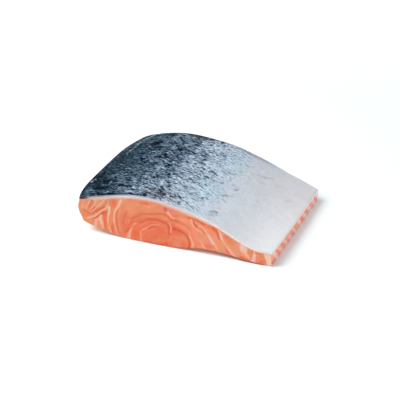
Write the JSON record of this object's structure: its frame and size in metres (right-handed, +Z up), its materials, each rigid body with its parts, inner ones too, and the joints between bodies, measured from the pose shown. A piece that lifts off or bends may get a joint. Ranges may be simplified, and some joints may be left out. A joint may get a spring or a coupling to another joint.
{
  "type": "salmon fillet",
  "caption": "Thick salmon fillet with its skin on, cut square at both ends and lying skin side up, with the flaky pink flesh showing at the cuts.",
  "frame": {"origin": "centre of the foot of the bounding box, on the surface the fillet lies on", "axes": "+X from the back of the fish to its belly, +Y along the fish away from the nearer cut, +Z up through the skin"},
  "size_m": [0.1768, 0.124, 0.0436],
  "materials": {
    "flesh": "moist raw salmon flesh, orange pink with pale lines between the flakes",
    "skin": "wet fish skin with scales, dark blue grey at the back and silver at the belly"
  },
  "bodies": {
    "root": {"flesh": "flesh", "skin": "skin"}
  },
  "joints": []
}
